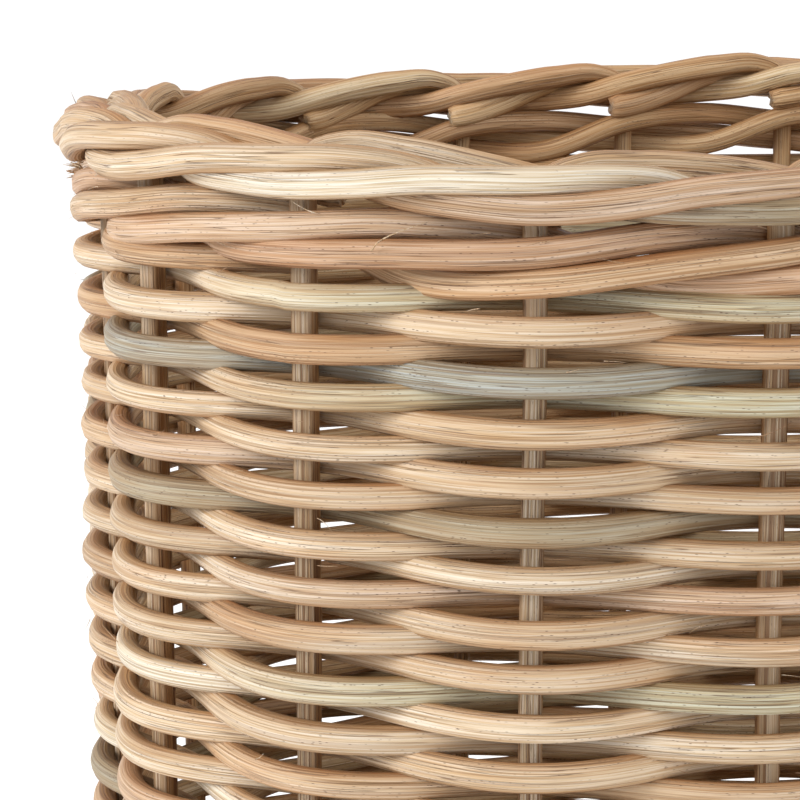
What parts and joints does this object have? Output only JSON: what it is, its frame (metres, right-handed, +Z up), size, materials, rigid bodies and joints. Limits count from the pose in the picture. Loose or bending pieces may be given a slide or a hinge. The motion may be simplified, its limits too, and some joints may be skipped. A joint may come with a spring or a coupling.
{
  "type": "wastebasket",
  "caption": "Open-topped wastebasket woven from rattan cane: rounded rectangular wall in plain weave with a rolled border rim, waled bands and a hoop foot.",
  "frame": {"origin": "on the floor, under the middle of the basket's outer box", "axes": "+Z up through the open mouth, +X along the longer side, +Y from the front face that the picture shows towards the back"},
  "size_m": [0.321, 0.297, 0.3328],
  "materials": {
    "pale_cane": "natural peeled rattan cane, dry and uncoated, matte",
    "tan_cane": "natural rattan cane, warmer and a little rougher, matte",
    "rattan_pole": "thicker rattan pole, matte"
  },
  "bodies": {
    "root": {"base_stick_1": "rattan_pole", "base_stick_2": "rattan_pole", "base_stick_3": "rattan_pole", "base_stick_4": "rattan_pole", "base_stick_5": "rattan_pole", "base_stick_6": "rattan_pole", "base_stick_7": "rattan_pole", "base_weaver_1": "pale_cane", "base_weaver_2": "pale_cane", "base_weaver_3": "pale_cane", "base_weaver_4": "pale_cane", "base_weaver_5": "pale_cane", "foot_hoop": "rattan_pole", "lower_wale_1": "tan_cane", "lower_wale_2": "tan_cane", "lower_wale_3": "tan_cane", "stake_01": "tan_cane", "stake_02": "tan_cane", "stake_03": "tan_cane", "stake_04": "tan_cane", "stake_05": "tan_cane", "stake_06": "tan_cane", "stake_07": "tan_cane", "stake_08": "tan_cane", "stake_09": "tan_cane", "stake_10": "tan_cane", "stake_11": "tan_cane", "stake_12": "tan_cane", "stake_13": "tan_cane", "stake_14": "tan_cane", "stake_15": "tan_cane", "stake_16": "tan_cane", "stake_17": "tan_cane", "stake_18": "tan_cane", "stake_19": "tan_cane", "stake_20": "tan_cane", "stake_21": "tan_cane", "upper_wale_1": "tan_cane", "upper_wale_2": "tan_cane", "upper_wale_3": "tan_cane", "wall_weaver_01": "pale_cane", "wall_weaver_02": "pale_cane", "wall_weaver_03": "pale_cane", "wall_weaver_04": "pale_cane", "wall_weaver_05": "pale_cane", "wall_weaver_06": "pale_cane", "wall_weaver_07": "pale_cane", "wall_weaver_08": "pale_cane", "wall_weaver_09": "pale_cane", "wall_weaver_10": "pale_cane"}
  },
  "joints": []
}
